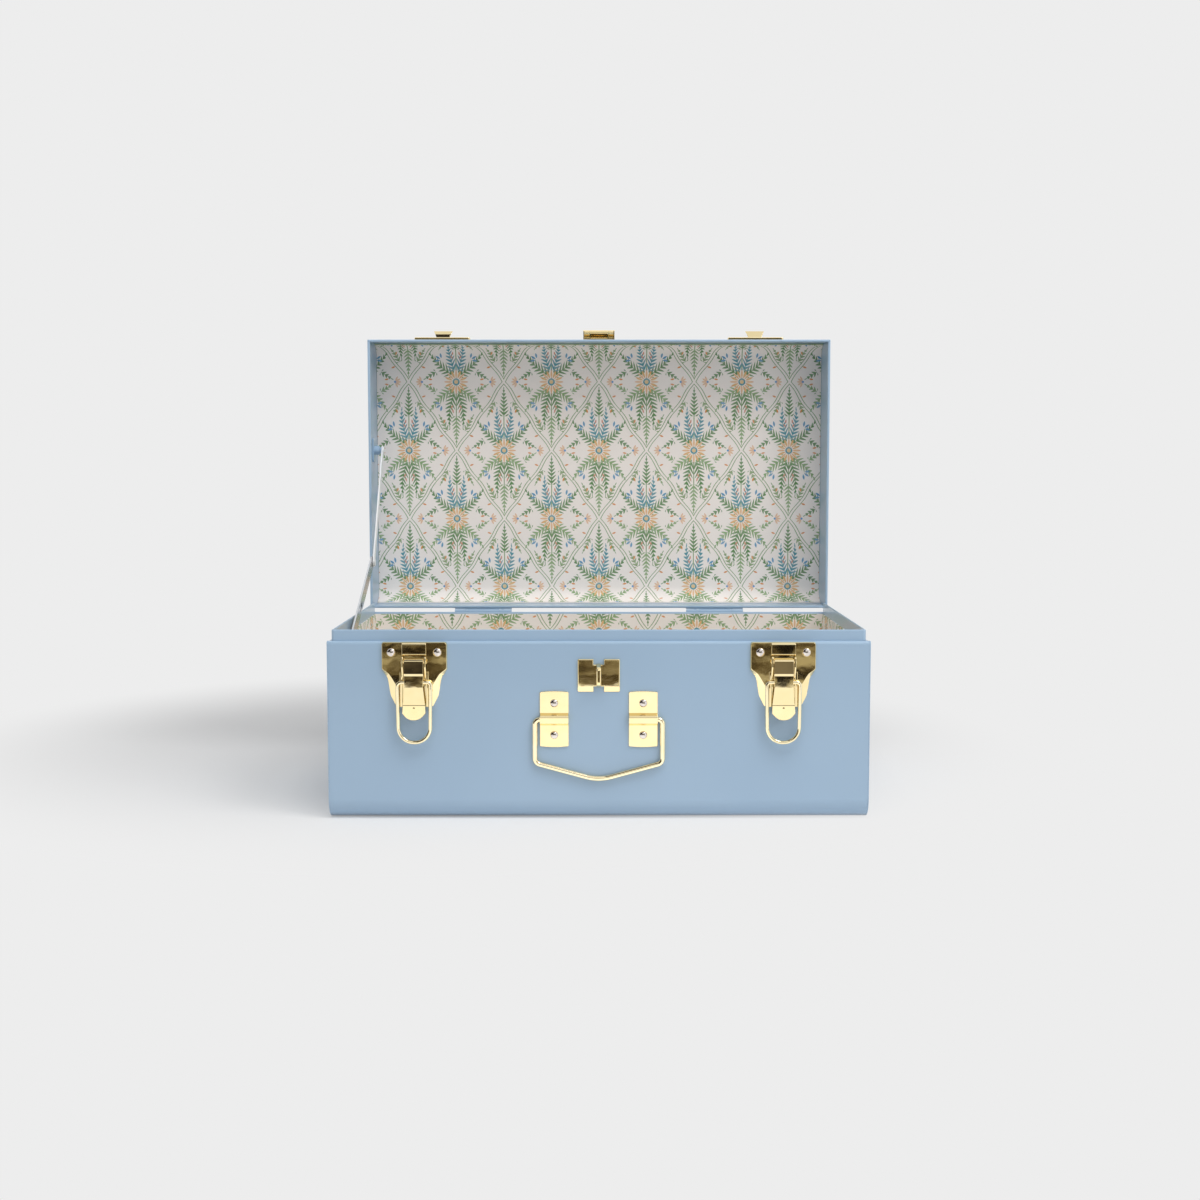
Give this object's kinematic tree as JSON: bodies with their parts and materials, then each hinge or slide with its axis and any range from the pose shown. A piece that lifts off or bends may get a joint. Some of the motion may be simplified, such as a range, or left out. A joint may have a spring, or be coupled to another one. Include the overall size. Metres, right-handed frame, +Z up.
{
  "type": "trunk",
  "caption": "Sheet-steel trunk with rounded long edges, hinged lid held open by a folding stay, draw latches, hasp, wire carrying handle and printed paper lining.",
  "frame": {"origin": "middle of the footprint on the floor", "axes": "+X to the right of the front, +Y to the back, +Z up; at rest the lid stands open"},
  "size_m": [0.5, 0.3748, 0.471],
  "materials": {
    "body_paint": "semi-gloss baked enamel",
    "rim_paint": "semi-gloss baked enamel",
    "lid_paint": "semi-gloss baked enamel",
    "hinge_paint": "semi-gloss baked enamel",
    "body_print": "matte printed paper on board",
    "lid_print": "matte printed paper on board",
    "gold_plate": "polished plating",
    "gold_lever": "polished plating",
    "gold_wire": "polished plating",
    "nickel": "polished plating",
    "stay_steel": "satin plating"
  },
  "bodies": {
    "body": {"body_end_left": "body_paint", "body_end_right": "body_paint", "body_lining": "body_print", "body_rim": "rim_paint", "body_wrap": "body_paint", "handle_bracket_left": "gold_plate", "handle_bracket_right": "gold_plate", "handle_rivets": "nickel", "hasp_plate": "gold_plate", "hinge_left_body_leaf": "hinge_paint", "hinge_left_body_rivets": "hinge_paint", "hinge_left_pin": "hinge_paint", "hinge_right_body_leaf": "hinge_paint", "hinge_right_body_rivets": "hinge_paint", "hinge_right_pin": "hinge_paint", "latch_left_pin": "gold_wire", "latch_left_plate": "gold_plate", "latch_left_rivets": "nickel", "latch_right_pin": "gold_wire", "latch_right_plate": "gold_plate", "latch_right_rivets": "nickel", "lining_end_left": "body_print", "lining_end_right": "body_print", "stay_foot_plate": "stay_steel", "stay_foot_rivet": "stay_steel"},
    "lid": {"catch_left_plate": "gold_plate", "catch_left_rivets": "nickel", "catch_right_plate": "gold_plate", "catch_right_rivets": "nickel", "hasp_bracket": "gold_plate", "hasp_pin": "gold_wire", "hasp_rivets": "nickel", "hinge_left_lid_leaf": "hinge_paint", "hinge_left_lid_rivets": "hinge_paint", "hinge_right_lid_leaf": "hinge_paint", "hinge_right_lid_rivets": "hinge_paint", "lid_end_left": "lid_paint", "lid_end_right": "lid_paint", "lid_lining": "lid_print", "lid_wrap": "lid_paint", "stay_lid_bracket": "stay_steel"},
    "hasp_flap": {"hasp_flap": "gold_plate"},
    "latch_left_lever": {"latch_left_lever": "gold_lever"},
    "latch_left_loop": {"latch_left_loop": "gold_wire"},
    "latch_right_lever": {"latch_right_lever": "gold_lever"},
    "latch_right_loop": {"latch_right_loop": "gold_wire"},
    "handle": {"handle_bail": "gold_wire"},
    "stay_lower": {"stay_lower_link": "stay_steel"},
    "stay_upper": {"stay_upper_link": "stay_steel", "stay_elbow_rivet": "stay_steel", "stay_lid_rivet": "stay_steel"}
  },
  "joints": [
    {"name": "lid_hinge", "type": "hinge", "parent": "body", "child": "lid", "pos_m": [0, 0.1493, 0.166], "axis": [1, 0, 0], "range_deg": [0, 90]},
    {"name": "stay_foot", "type": "hinge", "parent": "body", "child": "stay_lower", "pos_m": [-0.2408, -0.052, 0.1565], "axis": [1, 0, 0], "range_deg": [-24, 0]},
    {"name": "stay_elbow", "type": "hinge", "parent": "stay_lower", "child": "stay_upper", "pos_m": [-0.2395, 0.09799, 0.22302], "axis": [1, 0, 0], "range_deg": [0, 132.4]},
    {"name": "flap_swing", "type": "hinge", "parent": "lid", "child": "hasp_flap", "pos_m": [0, 0.1535, 0.4687], "axis": [1, 0, 0], "range_deg": [0, 180]},
    {"name": "handle_swing", "type": "hinge", "parent": "body", "child": "handle", "pos_m": [0, -0.14815, 0.0938], "axis": [-1, 0, 0], "range_deg": [0, 160]},
    {"name": "latch_left_lift", "type": "hinge", "parent": "body", "child": "latch_left_lever", "pos_m": [-0.1694, -0.152, 0.1474], "axis": [-1, 0, 0], "range_deg": [0, 75]},
    {"name": "latch_left_loop_swing", "type": "hinge", "parent": "latch_left_lever", "child": "latch_left_loop", "pos_m": [-0.1694, -0.1521, 0.1286], "axis": [-1, 0, 0], "range_deg": [0, 105]},
    {"name": "latch_right_lift", "type": "hinge", "parent": "body", "child": "latch_right_lever", "pos_m": [0.1694, -0.152, 0.1474], "axis": [-1, 0, 0], "range_deg": [0, 75]},
    {"name": "latch_right_loop_swing", "type": "hinge", "parent": "latch_right_lever", "child": "latch_right_loop", "pos_m": [0.1694, -0.1521, 0.1286], "axis": [-1, 0, 0], "range_deg": [0, 105]}
  ],
  "couplings": [
    {"joint": "stay_foot", "follows": "lid_hinge", "ratio": -0.26643},
    {"joint": "stay_elbow", "follows": "lid_hinge", "ratio": 1.4707}
  ]
}
